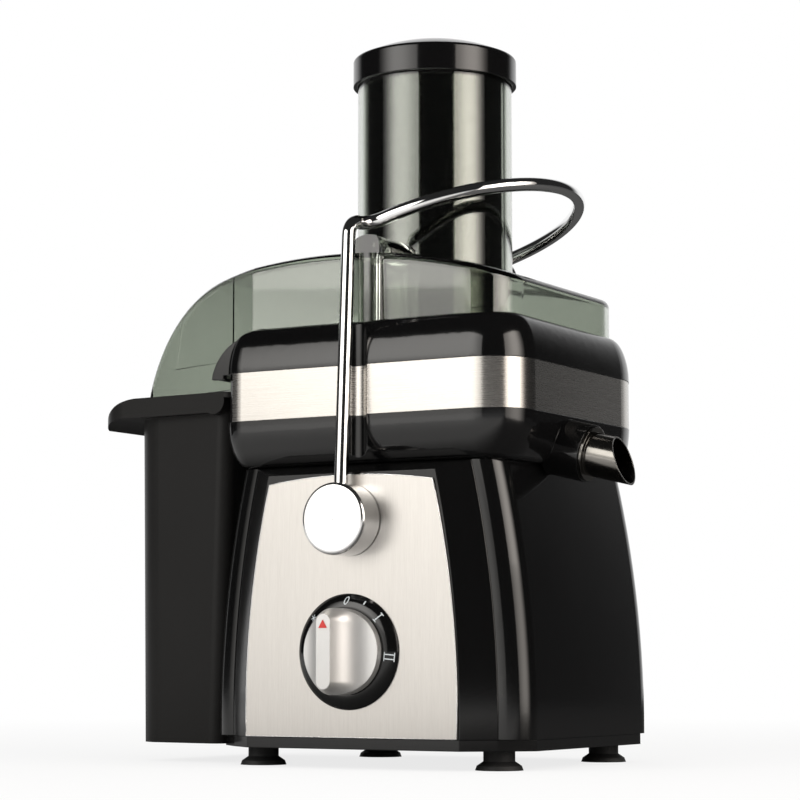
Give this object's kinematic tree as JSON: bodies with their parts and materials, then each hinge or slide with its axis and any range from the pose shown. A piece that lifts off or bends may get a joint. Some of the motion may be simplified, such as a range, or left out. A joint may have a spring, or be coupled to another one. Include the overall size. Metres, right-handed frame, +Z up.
{
  "type": "centrifugal juicer",
  "caption": "Upright centrifugal juicer with a wide feed tube and pusher, smoke lid, steel-trimmed bowl, spout, side pulp bin, speed dial and swing-over locking arm.",
  "frame": {"origin": "on the motor's axis, in the plane that the feet stand on", "axes": "+Z up along the motor shaft and feed tube, front with the dial towards -Y, spout towards +X, pulp bin towards -X"},
  "size_m": [0.2982, 0.2156, 0.381],
  "materials": {
    "gloss_black": "gloss",
    "satin_black": "satin",
    "black_pusher": "gloss",
    "smoke_clear": "clear smoke grey",
    "brushed_steel": "brushed",
    "polished_steel": "polished",
    "mesh_steel": "perforated sheet",
    "machine_steel": "turned",
    "lamination": "stacked sheet",
    "bracket_metal": "cast",
    "copper": "wound",
    "carbon": "matt",
    "silver": "silver metallic",
    "red_mark": "printed",
    "rubber": "matt",
    "board": "solder mask"
  },
  "bodies": {
    "housing": {"base_tray": "gloss_black", "tray_screws": "machine_steel", "foot_front_left": "rubber", "foot_front_right": "rubber", "foot_rear_right": "rubber", "foot_rear_left": "rubber", "motor_housing": "gloss_black", "front_cover": "gloss_black", "rear_cover": "gloss_black", "front_panel": "brushed_steel", "dial_bezel": "gloss_black", "rotary_switch": "satin_black", "control_board": "board", "cord_gland": "satin_black", "interlock_switch": "satin_black", "front_pivot_bush": "satin_black", "rear_pivot_bush": "satin_black", "upper_bracket": "bracket_metal", "lower_bracket": "bracket_metal", "upper_bearing": "machine_steel", "lower_bearing": "machine_steel", "motor_stator": "lamination", "field_coils": "copper", "carbon_brushes": "carbon", "brush_holders": "satin_black", "motor_bushes": "rubber", "motor_screws": "machine_steel", "shaft_seal": "rubber", "juice_bowl": "gloss_black", "bowl_band": "brushed_steel", "bowl_collar": "gloss_black", "juice_spout": "polished_steel", "lid": "smoke_clear", "feed_tube": "smoke_clear"},
    "arm": {"locking_arm": "polished_steel", "front_pivot_cap": "polished_steel", "rear_pivot_cap": "polished_steel", "front_pivot_pin": "machine_steel", "rear_pivot_pin": "machine_steel", "front_pivot_clip": "machine_steel", "rear_pivot_clip": "machine_steel", "interlock_cam": "satin_black"},
    "dial": {"speed_knob": "silver", "knob_marker": "red_mark", "switch_shaft": "machine_steel"},
    "rotor": {"motor_shaft": "machine_steel", "armature_core": "lamination", "armature_windings": "copper", "commutator": "copper", "cooling_fan": "satin_black", "drive_coupling": "satin_black", "basket_hub": "satin_black", "grater_disc": "mesh_steel", "filter_basket": "mesh_steel", "basket_rim": "mesh_steel"},
    "pusher": {"pusher_body": "black_pusher", "pusher_cap": "gloss_black"},
    "bin": {"pulp_bin": "satin_black"}
  },
  "joints": [
    {"name": "arm_swing", "type": "hinge", "parent": "housing", "child": "arm", "pos_m": [0, 0, 0.1215], "axis": [0, 1, 0], "range_deg": [0, 90]},
    {"name": "dial_turn", "type": "hinge", "parent": "housing", "child": "dial", "pos_m": [0, -0.0873, 0.057], "axis": [0, 1, 0], "range_deg": [-48, 96]},
    {"name": "rotor_spin", "type": "hinge", "parent": "housing", "child": "rotor", "pos_m": [0, 0, 0], "axis": [0, 0, 1], "continuous": true},
    {"name": "pusher_lift", "type": "slide", "parent": "housing", "child": "pusher", "axis": [0, 0, 1], "range_m": [0, 0.14]},
    {"name": "bin_slide", "type": "slide", "parent": "housing", "child": "bin", "axis": [-1, 0, 0], "range_m": [0, 0.12]}
  ]
}
